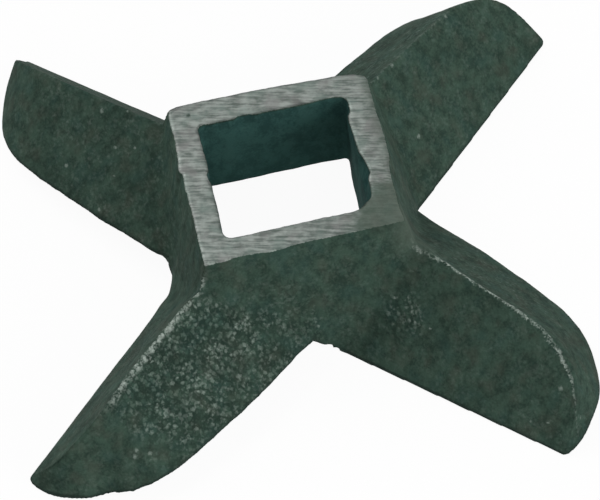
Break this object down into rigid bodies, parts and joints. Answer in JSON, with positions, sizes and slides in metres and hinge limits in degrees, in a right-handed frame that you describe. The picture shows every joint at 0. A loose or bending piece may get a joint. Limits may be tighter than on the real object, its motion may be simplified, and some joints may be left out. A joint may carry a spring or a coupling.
{
  "type": "meat grinder knife",
  "caption": "Cast cutting knife for a hand meat grinder: ridged, curved arms with straight cutting edges round a square-holed hub.",
  "frame": {"origin": "on the axis of the square drive hole, in the cutting plane that slides on the perforated plate", "axes": "+Z along the drive axis, away from the plate and towards the feed screw; X and Y parallel to the sides of the hub"},
  "size_m": [0.0396, 0.0396, 0.0089],
  "materials": {
    "cast_steel": "dark green-black cast skin, with the hub face ground bright and the crests worn"
  },
  "bodies": {
    "root": {"grinder_knife": "cast_steel"}
  },
  "joints": []
}
